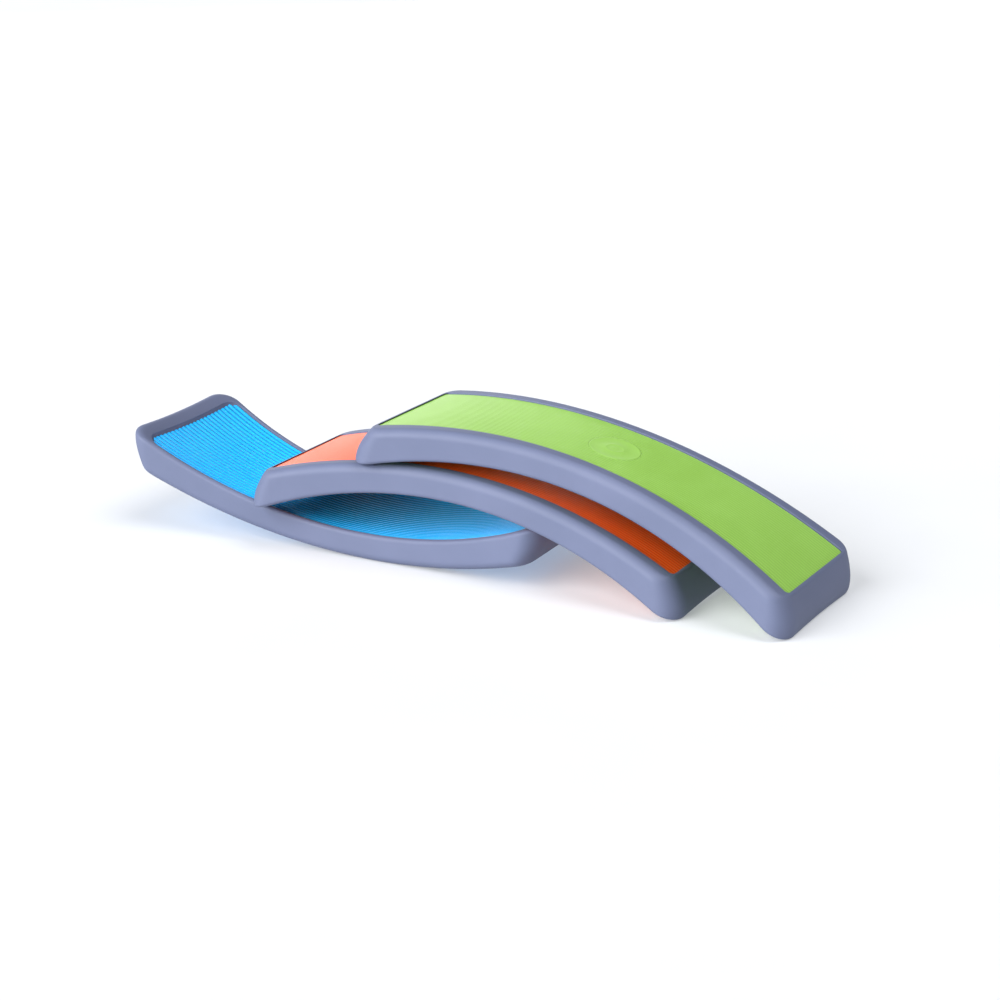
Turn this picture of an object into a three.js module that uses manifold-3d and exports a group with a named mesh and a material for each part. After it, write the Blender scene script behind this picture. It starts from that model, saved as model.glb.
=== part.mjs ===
// Three arched balance boards, stacked like roof tiles: one turned over so that it rocks on its
// convex face, and two standing as arches, each with one end on the floor and one on its neighbour.
// Each board is a soft grey frame around a hollow two-part core that is screwed together,
// with a tread on both faces. Units are millimetres, +Z is up.
import * as THREE from "three";
import { mergeVertices } from "three/addons/utils/BufferGeometryUtils.js";
import Module from "manifold-3d";

const wasm = await Module();
wasm.setup();

// A board standing as an arch: X along it, Y across it, the top of the arch at the origin.
const HALF_LENGTH = 391; // from the middle to the foot of an end
const WAIST_HALF_WIDTH = 119;
const WAIST_RADIUS = 2700; // the long sides are arcs in plan, so the ends are wider
const CONVEX_RADIUS = 1000;
const CONCAVE_RADIUS = 813;
const THICKNESS = 47; // at the middle of a long side
const DISH = 6.4; // how far the concave face is hollowed across its width
const END_LEAN = 18; // how much the top of an end stands back from its foot
const END_BULGE = 9; // how far an end swells out half way down it
const BULGE_START = 325; // where that swelling starts, from the middle
const END_CORNER = 36;
const TOP_SKIN = 22; // depths down to this are measured from the convex face
const UNDER_SKIN = 8.5; // the last depths are measured from the concave face
const STATION = 65; // spacing of the facets along the board
const ACROSS = 4; // facets across a face that follows the dish
const GAP = 0.4; // between pieces that touch
const END_GAP = 1.6; // at the ends of the concave tread
const SLIVER = 0.02; // edges shorter than this are merged away

// The rounds along the frame's long sides and over its ends, at the convex face and at the foot.
const SIDE_ROUND = { top: 15, foot: 8 };
const END_ROUND = { top: 3, foot: 14 };
const FRAME_DEPTHS = [0, 1.5, 5, 15, 25, 33, 38, 42, 44.3, THICKNESS];

const TREAD_SINK = 2; // the treads lie this far below the frame's edges
const TREAD_THICKNESS = 4.3;
const CONVEX_TREAD = { half: 90, end: 385, corner: 7 };
const CONCAVE_TREAD = { half: 110, end: 360, corner: 24 };

const CORE = { half: 100, end: 349, corner: 24 };
const CORE_END_GAP = 7; // the core stops short of the frame's end walls
const CORE_TOP = TREAD_SINK + TREAD_THICKNESS + 2 * GAP;
const CORE_SPLIT = TOP_SKIN;
const CORE_PLATE = 4.4;
const POCKET = { pitch: 114, half: 54, inner: 5, outer: 92 };
const POCKET_COUNT = 6;

const SCREW_X = [-228, 0, 228];
const SCREW_Y = 50;
const BOSS_RADIUS = 7;
const SCREW = { head: 4.5, headHeight: 3.2, shank: 2.3, seatBelowSplit: 5.5, length: 18, point: 3 };
const ROUND_SIDES = 8;

const BADGE_RADIUS = 42;
const BADGE_TOP = -1.6;
const BADGE_THICKNESS = 2.6;
const BADGE_SIDES = 32;

// Where each board stands: the place of its arch's top, its turn about Z and its tilt about Y.
const BOARDS = [
  { name: "blue", at: [-228.3, 8.22, 3.61], turn: 1, tilt: 5.1, overturned: true, colour: 0x2f9fe6 },
  { name: "orange", at: [46, -11.96, 174.7], turn: 0, tilt: 5.545, overturned: false, colour: 0xdc5d1e },
  { name: "green", at: [253.6, -9.55, 222.19], turn: -0.9, tilt: 13.15, overturned: false, colour: 0x95cf5a },
];

// The depth of a place given by its height above the concave face.
const overFoot = (height) => THICKNESS - height;
const rise = (radius, x) => Math.sqrt(radius * radius - x * x) - radius;
const halfWidth = (x) => WAIST_HALF_WIDTH - rise(WAIST_RADIUS, x);

// The height of a place at a depth, from 0 on the convex face to THICKNESS on the concave one.
// share is the distance across as a part of the board's half width.
function heightOf(along, share, depth) {
  const convex = rise(CONVEX_RADIUS, along);
  const concave = rise(CONCAVE_RADIUS, along) - THICKNESS + DISH * Math.max(0, 1 - share * share);
  if (depth <= TOP_SKIN) return convex - depth;
  if (depth >= overFoot(UNDER_SKIN)) return concave + overFoot(depth);
  const part = (depth - TOP_SKIN) / (overFoot(UNDER_SKIN) - TOP_SKIN);
  return (convex - TOP_SKIN) * (1 - part) + (concave + UNDER_SKIN) * part;
}

// Bends a point of a straight block onto the board. The ends lean back and swell with height.
function onBoard(x, across, depth) {
  const share = across / WAIST_HALF_WIDTH;
  const [top, here, foot] = [0, depth, THICKNESS].map((each) => heightOf(x, share, each));
  const up = (here - foot) / (top - foot);
  const swell = Math.max(0, (Math.abs(x) - BULGE_START) / (HALF_LENGTH - BULGE_START)) ** 2;
  const bulge = END_BULGE * swell * Math.sin(Math.PI * Math.min(1, Math.max(0, up)));
  const along = x * (1 - (END_LEAN / HALF_LENGTH) * up) + Math.sign(x) * bulge;
  return [along, share * halfWidth(along), heightOf(along, share, depth)];
}

// Distances along a piece at which it has an edge loop: an even grid, and a few in its corners.
function stations(end, corner) {
  const loops = [-end, end];
  for (const turn of [Math.PI / 6, Math.PI / 3, Math.PI / 2]) {
    const inset = corner * (1 - Math.cos(turn));
    loops.push(inset - end, end - inset);
  }
  for (let x = -6 * STATION; x < HALF_LENGTH; x += STATION) {
    if (Math.abs(x) < end - corner - 4) loops.push(x);
  }
  return loops.sort((a, b) => a - b);
}

function solidOf(geometry) {
  geometry.deleteAttribute("normal");
  geometry.deleteAttribute("uv");
  const merged = mergeVertices(geometry, 1e-4);
  return new wasm.Manifold(
    new wasm.Mesh({
      numProp: 3,
      vertProperties: merged.attributes.position.array,
      triVerts: new Uint32Array(merged.index.array),
    }),
  );
}

// Extrudes a section in steps, from loop to loop, and bends it onto the board. The section
// narrows in the end corners, which rounds them in plan.
function bent(section, half, loops, corner = 0) {
  const [from, to] = [loops[0], loops.at(-1)];
  const geometry = new THREE.ExtrudeGeometry(section, {
    steps: loops.length - 1,
    depth: loops.length - 1,
    bevelEnabled: false,
    curveSegments: 3,
  });
  const points = geometry.attributes.position;
  for (let i = 0; i < points.count; i++) {
    const x = loops[Math.round(points.getZ(i))];
    const into = Math.max(0, corner - Math.min(x - from, to - x));
    const narrowed = corner - Math.sqrt(Math.max(0, corner * corner - into * into));
    const across = points.getX(i) * (1 - narrowed / half);
    points.setXYZ(i, ...onBoard(x, across, -points.getY(i)));
  }
  return solidOf(geometry);
}

// A rectangular section between two places across the board and two depths. Its sides have a
// point at each depth where the bend changes, so that neighbours stay parallel.
function slabSection(left, right, top, bottom, steps) {
  const bends = [TOP_SKIN, THICKNESS - UNDER_SKIN].filter((depth) => depth > top && depth < bottom);
  const section = new THREE.Shape();
  section.moveTo(left, -top);
  for (const depth of bends) section.lineTo(left, -depth);
  for (let i = 0; i <= steps; i++) section.lineTo(left + ((right - left) * i) / steps, -bottom);
  for (const depth of bends.toReversed()) section.lineTo(right, -depth);
  for (let i = steps; i > 0; i--) section.lineTo(left + ((right - left) * i) / steps, -top);
  return section;
}

// A bent plate with an outline's rounded corners, or its pocket when it is grown by a gap.
function slab({ half, end, corner }, top, bottom, steps = 1, grow = 0, endGrow = 0) {
  const section = slabSection(-half - grow, half + grow, top, bottom, steps);
  return bent(section, half, stations(end + endGrow, corner), corner);
}

// How far a corner with a round on it stands in, at a distance from one of its faces.
const standsIn = (radius, from) => radius - Math.sqrt(radius ** 2 - Math.max(0, radius - from) ** 2);

// A block with a grid on its faces, narrowed at each depth by its rounds and bent onto the board.
function frameBlank() {
  const loops = stations(HALF_LENGTH, END_CORNER);
  const [long, deep] = [loops.length - 1, FRAME_DEPTHS.length - 1];
  const geometry = new THREE.BoxGeometry(long, ACROSS, deep, long, ACROSS, deep);
  const points = geometry.attributes.position;
  for (let i = 0; i < points.count; i++) {
    const depth = FRAME_DEPTHS[Math.round(deep / 2 - points.getZ(i))];
    const [side, end] = [SIDE_ROUND, END_ROUND].map(
      (round) => standsIn(round.top, depth) + standsIn(round.foot, THICKNESS - depth),
    );
    const x = loops[Math.round(points.getX(i) + long / 2)];
    const into = Math.max(0, Math.abs(x) - HALF_LENGTH + END_CORNER);
    const narrowed = END_CORNER - Math.sqrt(END_CORNER ** 2 - into ** 2);
    const across = (points.getY(i) / ACROSS) * 2 * (WAIST_HALF_WIDTH - side - narrowed);
    points.setXYZ(i, ...onBoard(x * (1 - end / HALF_LENGTH), across, depth));
  }
  return solidOf(geometry);
}

function frameSolid() {
  const ledge = TREAD_SINK + TREAD_THICKNESS + GAP;
  const above = 6; // the cutters run past the faces that they open
  return frameBlank()
    .subtract(slab(CONVEX_TREAD, -above, ledge, 1, GAP, GAP))
    .subtract(slab(CORE, ledge - GAP, overFoot(ledge - GAP), ACROSS, GAP, CORE_END_GAP))
    .subtract(slab(CONCAVE_TREAD, overFoot(ledge), overFoot(-above), ACROSS, GAP, END_GAP));
}

function upright(radius, bottom, top, x, y) {
  const rod = new THREE.CylinderGeometry(radius, radius, top - bottom, ROUND_SIDES);
  rod.rotateX(Math.PI / 2);
  rod.translate(x, y, (top + bottom) / 2);
  return solidOf(rod);
}

const screwPlaces = SCREW_X.flatMap((x) => [-SCREW_Y, SCREW_Y].map((y) => [x, y]));
const splitHeight = (x) => onBoard(x, 0, CORE_SPLIT)[2];
const together = (solids) => solids.reduce((all, one) => all.add(one));

// The hollows between a core shell's ribs, with the screw bosses left standing in them.
function pockets(top, bottom, steps) {
  const hollows = [];
  for (let i = 0; i < POCKET_COUNT; i++) {
    const middle = (i - (POCKET_COUNT - 1) / 2) * POCKET.pitch;
    for (const [left, right] of [[-POCKET.outer, -POCKET.inner], [POCKET.inner, POCKET.outer]]) {
      const section = slabSection(left, right, top, bottom, steps);
      hollows.push(bent(section, POCKET.outer, [middle - POCKET.half, middle + POCKET.half]));
    }
  }
  const reach = 80;
  const boss = ([x, y]) => upright(BOSS_RADIUS, splitHeight(x) - reach, splitHeight(x) + reach, x, y);
  return together(hollows).subtract(together(screwPlaces.map(boss)));
}

function screwHoles(clearance) {
  return together(
    screwPlaces.flatMap(([x, y]) => {
      const seat = splitHeight(x) - SCREW.seatBelowSplit + clearance;
      const tip = seat + SCREW.length + clearance;
      const reach = 40;
      return [
        upright(SCREW.head + clearance, seat - reach, seat, x, y),
        upright(SCREW.shank + clearance, seat - 1, tip, x, y),
      ];
    }),
  );
}

function convexShellSolid() {
  return slab(CORE, CORE_TOP, CORE_SPLIT - GAP)
    .subtract(pockets(CORE_TOP + CORE_PLATE, CORE_SPLIT + 2, 1))
    .subtract(screwHoles(GAP));
}

function concaveShellSolid() {
  const foot = overFoot(TREAD_SINK + TREAD_THICKNESS + 2 * GAP);
  return slab(CORE, CORE_SPLIT, foot, ACROSS)
    .subtract(pockets(CORE_SPLIT - 2, foot - CORE_PLATE, 2))
    .subtract(screwHoles(GAP));
}

const badgeSeat = BADGE_TOP - BADGE_THICKNESS - GAP;

function convexTreadSolid() {
  return slab(CONVEX_TREAD, TREAD_SINK, TREAD_SINK + TREAD_THICKNESS).subtract(
    solidOf(
      new THREE.CylinderGeometry(BADGE_RADIUS + GAP, BADGE_RADIUS + GAP, 10, BADGE_SIDES)
        .rotateX(Math.PI / 2)
        .translate(0, 0, badgeSeat + 5),
    ),
  );
}

function concaveTreadSolid() {
  return slab(CONCAVE_TREAD, overFoot(TREAD_SINK + TREAD_THICKNESS), overFoot(TREAD_SINK), ACROSS);
}

function screwGeometry() {
  const { head, headHeight, shank, length, point } = SCREW;
  const profile = [
    [0, -headHeight],
    [head, -headHeight],
    [head, 0],
    [shank, 0],
    [shank, length - point],
    [0, length],
  ];
  const screw = new THREE.LatheGeometry(profile.map(([r, z]) => new THREE.Vector2(r, z)), ROUND_SIDES);
  return screw.rotateX(Math.PI / 2);
}

function badgeGeometry() {
  return new THREE.CylinderGeometry(BADGE_RADIUS, BADGE_RADIUS, BADGE_THICKNESS, BADGE_SIDES).rotateX(
    Math.PI / 2,
  );
}

// The solid's mesh, without the slivers that its cuts leave.
function geometryOf(solid) {
  const { numProp, numVert, vertProperties, triVerts } = solid.simplify(SLIVER).getMesh();
  const points = new Float32Array(numVert * 3);
  for (let i = 0; i < numVert; i++) {
    points.set(vertProperties.subarray(i * numProp, i * numProp + 3), i * 3);
  }
  const geometry = new THREE.BufferGeometry();
  geometry.setAttribute("position", new THREE.BufferAttribute(points, 3));
  geometry.setIndex(new THREE.BufferAttribute(triVerts, 1));
  geometry.computeVertexNormals();
  return geometry;
}

const shapes = {
  frame: geometryOf(frameSolid()),
  core_convex_shell: geometryOf(convexShellSolid()),
  core_concave_shell: geometryOf(concaveShellSolid()),
  convex_tread: geometryOf(convexTreadSolid()),
  concave_tread: geometryOf(concaveTreadSolid()),
  badge_disc: badgeGeometry(),
};
const screwShape = screwGeometry();

const frameGrey = { color: 0x8391b8, roughness: 0.62, metalness: 0 };
const corePlastic = { color: 0x2b2e33, roughness: 0.7, metalness: 0 };
const zincSteel = { color: 0xa9adb2, roughness: 0.35, metalness: 1 };

function named(name, geometry, look) {
  const mesh = new THREE.Mesh(geometry, new THREE.MeshStandardMaterial(look));
  mesh.name = name;
  return mesh;
}

// One board from its shared shapes. Each copy is its own set of named meshes.
function board({ name, at, turn, tilt, overturned, colour }) {
  const tread = { color: colour, roughness: 0.5, metalness: 0 };
  const looks = {
    frame: frameGrey,
    core_convex_shell: corePlastic,
    core_concave_shell: corePlastic,
    convex_tread: tread,
    concave_tread: tread,
    badge_disc: tread,
  };
  const group = new THREE.Group();
  for (const [piece, shape] of Object.entries(shapes)) {
    const mesh = named(`${name}_${piece}`, shape, looks[piece]);
    if (piece === "badge_disc") mesh.position.z = BADGE_TOP - BADGE_THICKNESS / 2;
    group.add(mesh);
  }
  screwPlaces.forEach(([x, y], i) => {
    const screw = named(`${name}_core_screw_${i + 1}`, screwShape, zincSteel);
    screw.position.set(x, y, splitHeight(x) - SCREW.seatBelowSplit);
    group.add(screw);
  });
  const half = overturned ? Math.PI : 0;
  group.rotation.set(0, THREE.MathUtils.degToRad(tilt) + half, THREE.MathUtils.degToRad(turn), "ZYX");
  group.position.set(...at);
  return group;
}

const stack = new THREE.Group();
for (const each of BOARDS) stack.add(board(each));

export default stack;
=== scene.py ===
import math

import bpy
import numpy as np
from mathutils import Matrix, Vector


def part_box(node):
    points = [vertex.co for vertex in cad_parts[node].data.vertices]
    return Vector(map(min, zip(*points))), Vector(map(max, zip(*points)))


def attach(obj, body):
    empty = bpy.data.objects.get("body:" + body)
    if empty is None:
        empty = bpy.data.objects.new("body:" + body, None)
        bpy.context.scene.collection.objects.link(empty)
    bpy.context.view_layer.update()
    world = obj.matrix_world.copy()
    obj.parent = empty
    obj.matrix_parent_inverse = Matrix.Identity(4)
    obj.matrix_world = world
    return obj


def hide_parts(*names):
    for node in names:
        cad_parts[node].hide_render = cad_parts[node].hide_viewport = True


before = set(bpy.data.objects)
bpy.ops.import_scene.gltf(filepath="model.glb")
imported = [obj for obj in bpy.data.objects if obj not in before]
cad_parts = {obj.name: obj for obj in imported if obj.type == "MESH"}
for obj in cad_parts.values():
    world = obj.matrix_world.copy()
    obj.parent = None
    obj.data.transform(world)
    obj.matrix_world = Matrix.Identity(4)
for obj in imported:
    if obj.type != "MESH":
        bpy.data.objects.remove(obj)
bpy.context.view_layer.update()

# Core shells. Two ribbed halves carry the load inside each board.
# They are moulded in dark glass-filled plastic, so they come out of the mould with cloudy
# flow marks and a dry, slightly fibrous surface. Nobody sees them once the frame is on.
boards = ("blue", "orange", "green")


def new_finish(name):
    """A new material, its shader, and a function that adds a node with its inputs set or linked."""
    material = bpy.data.materials.new(name)
    material.use_nodes = True
    tree = material.node_tree
    shader = tree.nodes["Principled BSDF"]

    def add(kind, inputs, **settings):
        node = tree.nodes.new("ShaderNode" + kind)
        for setting, value in settings.items():
            setattr(node, setting, value)
        for socket, value in inputs.items():
            if isinstance(value, bpy.types.NodeSocket):
                tree.links.new(value, node.inputs[socket])
            else:
                node.inputs[socket].default_value = value
        return node

    def connect(output, socket):
        tree.links.new(output, shader.inputs[socket])

    return material, shader, add, connect


def shades(add, factor, dark, light, low=0.3, high=0.7):
    """A colour that runs from dark to light as the factor rises from low to high."""
    ramp = add("ValToRGB", {"Fac": factor})
    for stop, (place, colour) in zip(ramp.color_ramp.elements, ((low, dark), (high, light))):
        stop.position = place
        stop.color = (*colour, 1)
    return ramp.outputs["Color"]


def core_plastic():
    material, _, add, connect = new_finish("glass_filled_core")
    place = add("TexCoord", {}).outputs["Object"]
    flow = add("TexNoise", {"Vector": place, "Scale": 22, "Detail": 5, "Distortion": 1.6})
    fibres = add("TexNoise", {"Vector": place, "Scale": 1500, "Detail": 3})
    connect(shades(add, flow.outputs["Fac"], (0.02, 0.022, 0.027), (0.04, 0.043, 0.05)), "Base Color")
    dry = add("MapRange", {"Value": fibres.outputs["Fac"], "To Min": 0.5, "To Max": 0.75})
    connect(dry.outputs["Result"], "Roughness")
    bump = add("Bump", {"Height": fibres.outputs["Fac"], "Strength": 0.3, "Distance": 0.0001})
    connect(bump.outputs["Normal"], "Normal")
    return material


core_finish = core_plastic()
for board in boards:
    for half in ("convex", "concave"):
        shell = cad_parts[f"{board}_core_{half}_shell"]
        shell.data.materials.clear()
        shell.data.materials.append(core_finish)

# Core screws. Six pan-head screws a board pull the two shells together.
# They are zinc-plated steel, bright with a faint yellow and blue bloom from the plating bath,
# and lightly scored round the head where the driver has turned them home.
screws_per_board = 6


def zinc_plate():
    material, shader, add, connect = new_finish("zinc_plated_steel")
    place = add("TexCoord", {}).outputs["Object"]
    bloom = add("TexNoise", {"Vector": place, "Scale": 260, "Detail": 2})
    scoring = add("TexNoise", {"Vector": place, "Scale": 4200, "Detail": 2})
    shader.inputs["Metallic"].default_value = 1
    connect(shades(add, bloom.outputs["Fac"], (0.36, 0.39, 0.46), (0.5, 0.48, 0.4)), "Base Color")
    worn = add("MapRange", {"Value": scoring.outputs["Fac"], "To Min": 0.22, "To Max": 0.45})
    connect(worn.outputs["Result"], "Roughness")
    bump = add("Bump", {"Height": scoring.outputs["Fac"], "Strength": 0.2, "Distance": 0.00005})
    connect(bump.outputs["Normal"], "Normal")
    return material


screw_finish = zinc_plate()
for board in boards:
    for count in range(screws_per_board):
        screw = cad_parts[f"{board}_core_screw_{count + 1}"]
        screw.data.materials.clear()
        screw.data.materials.append(screw_finish)

# Treads. Each board has one on its convex face and one on its concave face.
# They are injection moulded in bright coloured plastic with round ribs that run lengthwise and
# fan out as the board widens, and they are pressed into a shallow recess in the frame.
mm = 0.001
half_length = 391
waist_half_width = 119
waist_radius = 2700
convex_radius = 1000
concave_radius = 813
thickness = 47
dish = 6.4
end_lean = 18
end_bulge = 9
bulge_start = 325
top_skin = 22
under_skin = 8.5

convex_tread = {"half": 89.4, "end": 384.4, "corner": 7, "ribs": 30, "rib_height": 0.5}
concave_tread = {"half": 109.4, "end": 358.4, "corner": 23.4, "ribs": 24, "rib_height": 3.2}
tread_sink = 2
tread_thickness = 3.9
rib_facets = 10
rib_roundness = 0.8
rib_end_fall = 3
rib_end_places = (0, 0.08, 0.2, 0.45, 1)
# Painted shade: the grooves between the ribs are coloured darker than the crests, as these fractions of the
# deep tread colour.
groove_painted_shade = {"convex": 0.75, "concave": 0.4}
tread_steps = 84

roundel_radius = 42
roundel_gap = 0.3
roundel_land = 1
roundel_land_fade = 1.5
roundel_steps_past_land = 2
roundel_steps = 56
roundel_middle_depth = 2.9

tread_shine = {"convex": 0.6, "concave": 0.3}
tread_colours = {
    "blue": ((0.004, 0.42, 1), (0.008, 0.48, 1)),
    "orange": ((0.85, 0.075, 0.002), (0.92, 0.095, 0.003)),
    "green": ((0.25, 0.48, 0.075), (0.29, 0.54, 0.1)),
}


def rise(radius, x):
    return np.sqrt(radius**2 - x**2) - radius


def height_of(along, share, depth):
    """Height of a place at a depth below the convex face, for a share of the half width."""
    convex = rise(convex_radius, along)
    concave = rise(concave_radius, along) - thickness + dish * np.maximum(0, 1 - share**2)
    part = (depth - top_skin) / (thickness - under_skin - top_skin)
    between = (convex - top_skin) * (1 - part) + (concave + under_skin) * part
    near_foot = concave + thickness - depth
    return np.where(depth <= top_skin, convex - depth, np.where(part >= 1, near_foot, between))


def on_board(x, across, depth):
    """Points of a straight block, in millimetres, bent onto the board, in metres."""
    share = across / waist_half_width
    top, here, foot = (height_of(x, share, d) for d in (0 * depth, depth, 0 * depth + thickness))
    up = np.clip((here - foot) / (top - foot), 0, 1)
    swell = np.maximum(0, (np.abs(x) - bulge_start) / (half_length - bulge_start)) ** 2
    along = x * (1 - end_lean / half_length * up) + np.sign(x) * end_bulge * swell * np.sin(math.pi * up)
    half_width = waist_half_width - rise(waist_radius, along)
    return np.stack([along, share * half_width, height_of(along, share, depth)], axis=-1) * mm


def middle(node):
    low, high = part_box(node)
    return (low + high) / 2


def board_place(board):
    """The matrix that carries a board's own axes to where it lies: X along it, Z out of the arch."""
    screws = [middle(f"{board}_core_screw_{count + 1}") for count in range(screws_per_board)]
    along = (screws[4] + screws[5] - screws[0] - screws[1]).normalized()
    across = (screws[3] - screws[2]).normalized()
    out = along.cross(across)
    arch_top = middle(f"{board}_badge_disc") + out * roundel_middle_depth * mm
    turn = Matrix((along, across, out)).transposed().to_4x4()
    return Matrix.Translation(arch_top) @ turn


def grid_faces(rows, columns, wrap=False):
    """Quads over a grid of points, row by row. A wrapped grid also joins its last row to its first."""
    first = np.arange(rows if wrap else rows - 1)[:, None] * columns + np.arange(columns - 1)
    following = (first + columns) % (rows * columns)
    return np.stack([first, following, following + 1, first + 1], axis=-1).reshape(-1, 4)


def mesh_of(name, points, faces):
    mesh = bpy.data.meshes.new(name)
    mesh.from_pydata(points.reshape(-1, 3).tolist(), [], faces.tolist())
    mesh.validate()
    mesh.polygons.foreach_set("use_smooth", [True] * len(mesh.polygons))
    return mesh


def tread_outline(size, steps):
    """Distances along and across a tread, with its corners rounded: one row for each step."""
    half, end, corner = size["half"], size["end"], size["corner"]
    columns = np.linspace(-half, half, size["ribs"] * rib_facets + 1)
    into = np.clip(np.abs(columns) - (half - corner), 0, corner)
    reach = end - corner + np.sqrt(corner**2 - into**2)
    return steps[:, None] * reach[None, :], np.broadcast_to(columns, (len(steps), len(columns)))


def rib_height(size, x, across):
    """How far the tread stands above its grooves, from 0 to the full rib height."""
    phase = (across + size["half"]) / (2 * size["half"]) * size["ribs"]
    round_top = np.abs(np.sin(math.pi * phase)) ** rib_roundness
    from_end = size["end"] - np.abs(x)
    fall = np.sqrt(np.clip(1 - (1 - from_end / rib_end_fall) ** 2 * (from_end < rib_end_fall), 0, 1))
    return size["rib_height"] * round_top * fall


def tread_mesh(name, size, steps, on_concave):
    """A tread's ribbed face, its plain back and the sides between them."""
    x, across = tread_outline(size, steps)
    ribs = rib_height(size, x, across)
    if not on_concave:
        past_land = np.hypot(x, across) - roundel_radius - roundel_land
        land = np.clip(1 - past_land / roundel_land_fade, 0, 1)
        ribs = ribs + (size["rib_height"] - ribs) * land
    face = tread_sink + size["rib_height"] - ribs
    back = np.full_like(face, tread_sink + tread_thickness)
    if on_concave:
        face, back = thickness - face, thickness - back
    rows, columns = x.shape
    points = np.concatenate([on_board(x, across, face), on_board(x, across, back)])
    front = grid_faces(rows, columns)
    if on_concave:
        front = front[:, ::-1]
    rear = front[:, ::-1] + rows * columns
    numbers = np.arange(rows * columns).reshape(rows, columns)
    rim = np.concatenate([numbers[0, :-1], numbers[:-1, -1], numbers[-1, :0:-1], numbers[:0:-1, 0]])
    behind = rim + rows * columns
    sides = np.stack([rim, np.roll(rim, -1), np.roll(behind, -1), behind], axis=-1)
    if on_concave:
        sides = sides[:, ::-1]
    mesh = mesh_of(name, points, np.concatenate([front, rear, sides]))
    crest = np.concatenate([(ribs / size["rib_height"]).ravel(), np.zeros(rows * columns)])
    mesh.attributes.new("rib_crest", "FLOAT", "POINT").data.foreach_set("value", crest)
    return mesh


def mixed(add, factor, first, second):
    """The first colour where the factor is 0 and the second where it is 1."""
    colours = [each if isinstance(each, bpy.types.NodeSocket) else (*each, 1) for each in (first, second)]
    return add("Mix", {0: factor, 6: colours[0], 7: colours[1]}, data_type="RGBA").outputs[2]


def tread_plastic(board, side):
    material, shader, add, connect = new_finish(f"{board}_{side}_tread_plastic")
    deep, bright = tread_colours[board]
    place = add("Attribute", {}, attribute_name="place_on_board").outputs["Vector"]
    crest = add("Attribute", {}, attribute_name="rib_crest").outputs["Fac"]
    flow = add("TexNoise", {"Vector": place, "Scale": 7, "Detail": 4, "Distortion": 0.8})
    grain = add("TexNoise", {"Vector": place, "Scale": 1600, "Detail": 4, "Roughness": 0.65})
    lengthwise = add("Mapping", {"Vector": place, "Scale": (9, 700, 700)})
    scuffs = add("TexNoise", {"Vector": lengthwise.outputs["Vector"], "Scale": 1, "Detail": 4})
    body = shades(add, flow.outputs["Fac"], deep, bright)
    # Painted shade: where a rib falls away into its groove, the colour runs down to the darkened deep
    # colour.
    painted_groove_shade = tuple(groove_painted_shade[side] * part for part in deep)
    ribbed = mixed(add, crest, painted_groove_shade, body)
    rub = add("MapRange", {"Value": scuffs.outputs["Fac"], "From Min": 0.56, "From Max": 0.72})
    rubbed = add("Math", {0: rub.outputs["Result"], 1: crest}, operation="MULTIPLY")
    faint = add("Math", {0: rubbed.outputs[0], 1: 0.12}, operation="MULTIPLY")
    chalky = tuple(0.5 + 0.5 * part for part in bright)
    connect(mixed(add, faint.outputs[0], ribbed, chalky), "Base Color")
    satin = add("MapRange", {"Value": grain.outputs["Fac"], "To Min": 0.34, "To Max": 0.46})
    rough = add("Math", {0: rubbed.outputs[0], 1: 0.1, 2: satin.outputs["Result"]}, operation="MULTIPLY_ADD")
    connect(rough.outputs[0], "Roughness")
    bump = add("Bump", {"Height": grain.outputs["Fac"], "Strength": 0.18, "Distance": 0.0001})
    connect(bump.outputs["Normal"], "Normal")
    shader.inputs["Specular IOR Level"].default_value = tread_shine[side]
    return material


def place_piece(name, mesh, board, finish, node):
    """Puts a copy of a shared mesh on a board, in place of the board's plain CAD node.
    Each point keeps its place on the unturned board, which the finishes follow."""
    piece = bpy.data.objects.new(name, mesh.copy())
    own = np.empty(len(mesh.vertices) * 3)
    mesh.vertices.foreach_get("co", own)
    piece.data.attributes.new("place_on_board", "FLOAT_VECTOR", "POINT").data.foreach_set("vector", own)
    piece.data.transform(board_place(board))
    piece.data.materials.append(finish)
    bpy.context.scene.collection.objects.link(piece)
    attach(piece, f"{board}_board")
    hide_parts(node)


even_steps = np.linspace(-1, 1, tread_steps + 1)
rib_end_share = rib_end_fall / concave_tread["end"]
end_steps = 1 - rib_end_share * np.array(rib_end_places)
concave_steps = np.unique(np.concatenate([even_steps, end_steps, -end_steps]).round(7))
roundel_reach = roundel_radius + roundel_land + roundel_steps_past_land
over_roundel = np.linspace(-1, 1, roundel_steps) * roundel_reach / convex_tread["end"]
convex_steps = np.unique(np.concatenate([concave_steps, over_roundel]).round(7))
tread_meshes = {
    "convex": tread_mesh("convex_tread", convex_tread, convex_steps, False),
    "concave": tread_mesh("concave_tread", concave_tread, concave_steps, True),
}

# A flat-bottomed round recess is bored in the face of the convex tread, and the roundel sits in it.
cutter_facets = 96
recess_depth = 4.6
cutter_top = 10


def ring_points(radius, height, facets):
    turn = np.linspace(0, 2 * math.pi, facets, endpoint=False)
    return np.stack([radius * np.cos(turn), radius * np.sin(turn), np.full(facets, height)], axis=-1)


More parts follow.
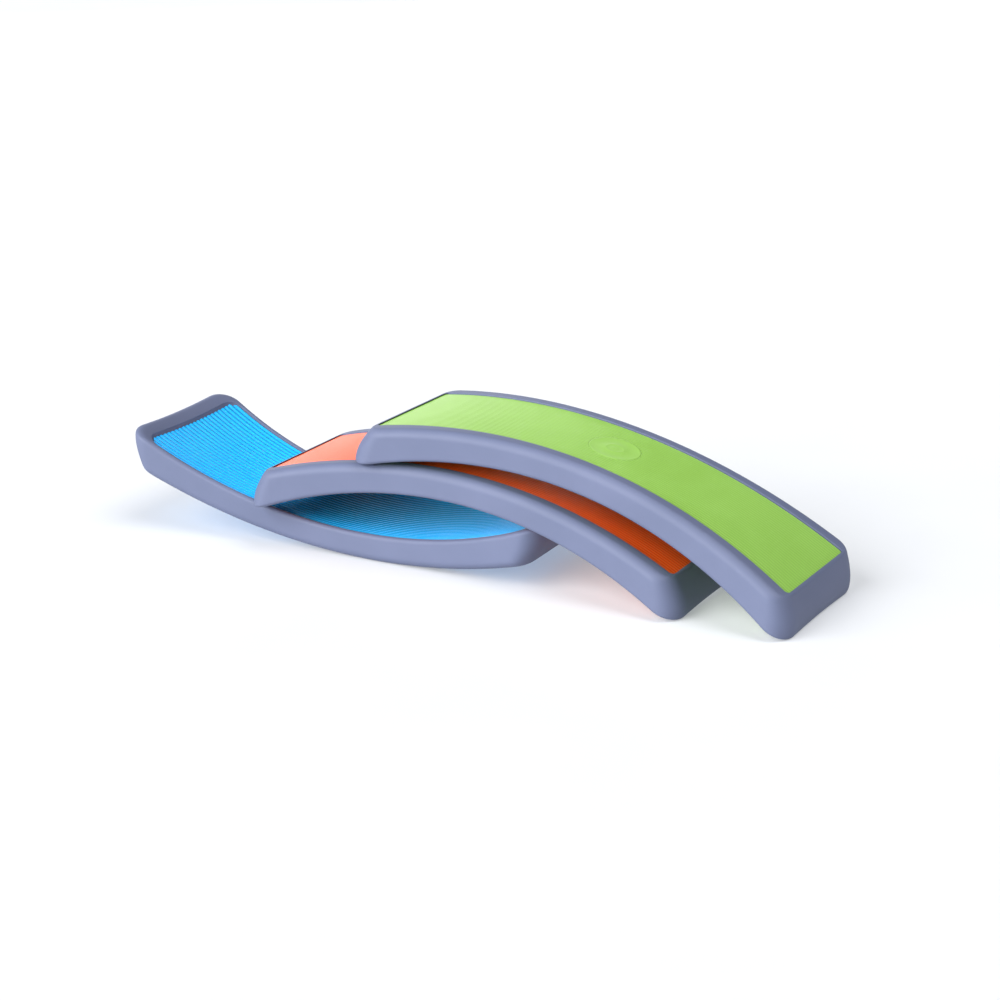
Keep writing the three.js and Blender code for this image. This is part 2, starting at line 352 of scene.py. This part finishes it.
def bore_recess(mesh):
    radius = roundel_radius + roundel_gap
    rings = [ring_points(radius, height, cutter_facets) for height in (-recess_depth, cutter_top)]
    below = list(range(cutter_facets))
    above = [corner + cutter_facets for corner in below]
    wall = list(zip(below, below[1:] + below[:1], above[1:] + above[:1], above))
    floor, lid = [tuple(reversed(below))], [tuple(above)]
    cutter_mesh = bpy.data.meshes.new("recess_cutter")
    cutter_mesh.from_pydata((np.concatenate(rings) * mm).tolist(), [], wall + floor + lid)
    cutter = bpy.data.objects.new("recess_cutter", cutter_mesh)
    blank = bpy.data.objects.new("tread_blank", mesh)
    for each in (cutter, blank):
        bpy.context.scene.collection.objects.link(each)
    cut = blank.modifiers.new("recess", "BOOLEAN")
    cut.object = cutter
    cut.operation = "DIFFERENCE"
    cut.solver = "EXACT"
    bored = bpy.data.meshes.new_from_object(blank.evaluated_get(bpy.context.evaluated_depsgraph_get()))
    for each in (cutter, blank):
        bpy.data.objects.remove(each)
    return bored


tread_meshes["convex"] = bore_recess(tread_meshes["convex"])
tread_finishes = {}
for board in boards:
    for side, mesh in tread_meshes.items():
        node = f"{board}_{side}_tread"
        tread_finishes[node] = tread_plastic(board, side)
        place_piece(f"{node}_ribbed", mesh, board, tread_finishes[node], node)

# Roundels. A moulded disc sits in the middle of each convex tread, in the tread's own colour.
# It has a raised rim, a fine inner ring and a shallow boss, all in low relief,
# and a hairline gap shows round it.
roundel_facets = 128
roundel_profile = (
    (0, 0.14), (4, 0.13), (6.5, 0.06), (8, 0), (13, 0), (13.5, 0.07), (14.5, 0.09), (15.5, 0.07), (16, 0),
    (38.8, 0), (39.2, 0.06), (40, 0.1), (41, 0.08), (41.8, 0.02), (42, -0.15), (42, -2.2), (0, -2.2),
)


def roundel_mesh():
    turn = np.linspace(0, 2 * math.pi, roundel_facets, endpoint=False)
    radius, relief = np.array(roundel_profile).T
    x = radius[None, :] * np.cos(turn)[:, None]
    y = radius[None, :] * np.sin(turn)[:, None]
    z = rise(convex_radius, x) - tread_sink + relief[None, :] + 0 * y
    mesh = mesh_of("roundel", np.stack([x, y, z], axis=-1) * mm, grid_faces(*x.shape, wrap=True)[:, ::-1])
    work = bpy.data.objects.new("roundel_blank", mesh)
    bpy.context.scene.collection.objects.link(work)
    weld = work.modifiers.new("weld", "WELD")
    weld.merge_threshold = 0.00001
    welded = bpy.data.meshes.new_from_object(work.evaluated_get(bpy.context.evaluated_depsgraph_get()))
    bpy.data.objects.remove(work)
    welded.attributes.new("rib_crest", "FLOAT", "POINT").data.foreach_set(
        "value", np.ones(len(welded.vertices))
    )
    return welded


shared_roundel = roundel_mesh()
for board in boards:
    finish = tread_finishes[f"{board}_convex_tread"]
    place_piece(f"{board}_roundel", shared_roundel, board, finish, f"{board}_badge_disc")

# Frames. One thick rim of soft-touch elastomer is moulded round each core.
# Its long sides are rounded most on the convex face and its ends at the foot. It stands a little
# proud of the treads, with a narrow gap round each, and is matt with a fine leathery grain.
corner_facets = 14
side_facets = 96
end_facets = 28
core_half, core_end, core_corner = 100.4, 356, 24
lip_half, lip_end, lip_corner = 90.5, 385.4, 7.6
rim_half, rim_end, rim_corner = 110.4, 361.6, 25
outer_corner = 36
side_round = 15
side_foot_round = 7.5
end_round = 2.4
end_foot_round = 14
round_growth = 7
lip_round = 0.9
rim_round = 0.6
tread_bed = 0.5
lip_points = 5
flat_points = 4
flat_reach = 0.8
round_points = 13
wall_points = 9
foot_points = 12


def section_loops():
    """Loops of the frame's section from the core's wall, over the outside, and back to the wall.
    Each is the half width and depth at a side, the end and depth at an end, and the corner radius."""
    ledge = tread_sink + tread_thickness + tread_bed
    foot = thickness
    loops = [
        (core_half, foot - ledge, core_end, foot - ledge, core_corner),
        (core_half, ledge, core_end, ledge, core_corner),
        (lip_half, ledge, lip_end, ledge, lip_corner),
        (lip_half, ledge / 2, lip_end, ledge / 2, lip_corner),
    ]
    for turn in np.linspace(0, math.pi / 2, lip_points):
        out, down = lip_round * (1 - math.cos(turn)), lip_round * (1 - math.sin(turn))
        loops.append((lip_half + out, down, lip_end + out, down, lip_corner + out))
    round_start = waist_half_width - side_round
    for t in np.linspace(0, flat_reach, flat_points)[1:]:
        across = lip_half + lip_round + (round_start - lip_half - lip_round) * t
        end = lip_end + lip_round + (half_length - end_round - lip_end - lip_round) * t
        loops.append((across, 0, end, 0, lip_corner + lip_round + round_growth * t))
    round_corner = lip_corner + lip_round + round_growth
    for t in np.linspace(0, 1, round_points):
        out, down = math.sin(t * math.pi / 2), 1 - math.cos(t * math.pi / 2)
        corner = round_corner + (outer_corner - round_corner) * out
        loops.append((round_start + side_round * out, side_round * down,
                      half_length - end_round * (1 - out), end_round * down, corner))
    side_wall, end_wall = foot - side_foot_round, foot - end_foot_round
    for t in np.linspace(0, 1, wall_points)[1:]:
        side_depth = side_round + (side_wall - side_round) * t
        end_depth = end_round + (end_wall - end_round) * t
        loops.append((waist_half_width, side_depth, half_length, end_depth, outer_corner))
    for turn in np.linspace(0, math.pi / 2, foot_points)[1:]:
        inward, down = 1 - math.cos(turn), math.sin(turn)
        half = waist_half_width - side_foot_round * inward
        end = half_length - end_foot_round * inward
        side_depth, end_depth = side_wall + side_foot_round * down, end_wall + end_foot_round * down
        loops.append((half, side_depth, end, end_depth, outer_corner))
    for turn in np.linspace(0, math.pi / 2, lip_points):
        inward, down = rim_round * (1 - math.sin(turn)), rim_round * (1 - math.cos(turn))
        loops.append((rim_half + inward, foot - down, rim_end + inward, foot - down, rim_corner + inward))
    loops.append((rim_half, foot - ledge, rim_end, foot - ledge, rim_corner))
    return loops


def loop_points(half, end, corner):
    """Points round a rounded rectangle, from the middle of a corner on, and how far each is an end's."""
    quarter = np.linspace(0, math.pi / 2, corner_facets + 1)
    x, across, endness = [], [], []
    for count, (sign_x, sign_y) in enumerate(((1, 1), (-1, 1), (-1, -1), (1, -1))):
        turn = quarter + count * math.pi / 2
        x.append(sign_x * (end - corner) + corner * np.cos(turn))
        across.append(sign_y * (half - corner) + corner * np.sin(turn))
        endness.append(np.cos(turn) ** 2)
        facets = end_facets if count % 2 else side_facets
        between = np.linspace(1, -1, facets + 1)[1:-1]
        if count % 2:
            x.append(np.full_like(between, sign_x * end))
            across.append(sign_y * between * (half - corner))
            endness.append(np.ones_like(between))
        else:
            x.append(sign_x * between * (end - corner))
            across.append(np.full_like(between, sign_y * half))
            endness.append(np.zeros_like(between))
    return np.concatenate(x), np.concatenate(across), np.concatenate(endness)


def frame_mesh():
    """The section's loops, bent onto the board and joined one to the next."""
    rows = []
    for half, side_depth, end, end_depth, corner in section_loops():
        x, across, endness = loop_points(half, end, corner)
        rows.append(on_board(x, across, side_depth + (end_depth - side_depth) * endness))
    points = np.stack(rows)
    loops, around = points.shape[:2]
    number = np.arange(loops * around).reshape(loops, around)
    following = np.roll(number, -1, axis=0)
    corners = [number, following, np.roll(following, -1, axis=1), np.roll(number, -1, axis=1)]
    return mesh_of("frame", points, np.stack(corners, axis=-1).reshape(-1, 4))


def soft_touch():
    material, shader, add, connect = new_finish("soft_touch_elastomer")
    place = add("Attribute", {}, attribute_name="place_on_board").outputs["Vector"]
    cloud = add("TexNoise", {"Vector": place, "Scale": 6, "Detail": 5, "Distortion": 0.5})
    grain = add("TexNoise", {"Vector": place, "Scale": 1100, "Detail": 3, "Roughness": 0.6})
    pebble = add("TexVoronoi", {"Vector": place, "Scale": 700})
    body = shades(add, cloud.outputs["Fac"], (0.104, 0.124, 0.206), (0.12, 0.14, 0.23))
    connect(body, "Base Color")
    matt = add("MapRange", {"Value": grain.outputs["Fac"], "To Min": 0.5, "To Max": 0.68})
    connect(matt.outputs["Result"], "Roughness")
    layers = {0: pebble.outputs["Distance"], 1: 0.5, 2: grain.outputs["Fac"]}
    leather = add("Math", layers, operation="MULTIPLY_ADD")
    bump = add("Bump", {"Height": leather.outputs[0], "Strength": 0.25, "Distance": 0.00015})
    connect(bump.outputs["Normal"], "Normal")
    shader.inputs["Specular IOR Level"].default_value = 0.35
    return material


shared_frame = frame_mesh()
frame_finish = soft_touch()
for board in boards:
    place_piece(f"{board}_frame_rim", shared_frame, board, frame_finish, f"{board}_frame")

# The studio. A pale, faintly glowing floor runs back out of sight under a weak white surround.
# A soft key light comes low from the front left, a weaker one from overhead on the right, and a big
# panel glows behind on the left. The camera stands to the right and looks down on the boards.
floor_half = 40


def studio_floor():
    corners = [(x * floor_half, y * floor_half, 0) for x, y in ((-1, -1), (1, -1), (1, 1), (-1, 1))]
    mesh = bpy.data.meshes.new("studio_floor")
    mesh.from_pydata(corners, [], [(0, 1, 2, 3)])
    material, shader, add, connect = new_finish("pale_floor")
    place = add("TexCoord", {}).outputs["Object"]
    cloud = add("TexNoise", {"Vector": place, "Scale": 3, "Detail": 4})
    connect(shades(add, cloud.outputs["Fac"], (0.44, 0.45, 0.47), (0.46, 0.47, 0.49)), "Base Color")
    shader.inputs["Roughness"].default_value = 0.9
    shader.inputs["Emission Color"].default_value = (0.93, 0.96, 1, 1)
    shader.inputs["Emission Strength"].default_value = 0.32
    mesh.materials.append(material)
    floor = bpy.data.objects.new("studio_floor", mesh)
    bpy.context.scene.collection.objects.link(floor)


studio_floor()

surround = bpy.data.worlds.new("white_surround")
surround.use_nodes = True
surround.node_tree.nodes["Background"].inputs["Color"].default_value = (1, 1, 1, 1)
surround.node_tree.nodes["Background"].inputs["Strength"].default_value = 0.08
bpy.context.scene.world = surround
bpy.context.scene.view_settings.view_transform = "Standard"


def studio_lamp(name, kind, energy, shining):
    """A lamp that shines in the given direction."""
    lamp = bpy.data.objects.new(name, bpy.data.lights.new(name, kind))
    lamp.data.energy = energy
    lamp.rotation_euler = Vector(shining).to_track_quat("-Z", "Y").to_euler()
    bpy.context.scene.collection.objects.link(lamp)
    return lamp


key = studio_lamp("key_light", "SUN", 6.3, (0.42, 0.8, -0.42))
key.data.angle = math.radians(60)
overhead = studio_lamp("overhead_light", "SUN", 2.2, (-0.48, 0.1, -0.87))
overhead.data.angle = math.radians(40)
glow = studio_lamp("back_glow", "AREA", 150, (5.0, -6.6, -1.6))
glow.data.shape = "RECTANGLE"
glow.data.size, glow.data.size_y = 6, 2.4
glow.location = (-5.0, 6.6, 1.6)
glow.visible_camera = False

camera = bpy.data.objects.new("camera", bpy.data.cameras.new("camera"))
camera.data.lens = 85.1
camera.data.clip_end = 200
camera.location = (1.8166, -3.2113, 1.2896)
aim = Vector((0.2044, -0.2977, 0.2116))
level = (aim - camera.location).to_track_quat("-Z", "Y").to_matrix().to_4x4()
camera.matrix_world = Matrix.Translation(camera.location) @ level @ Matrix.Rotation(-0.0153, 4, "Z")
bpy.context.scene.collection.objects.link(camera)
bpy.context.scene.camera = camera
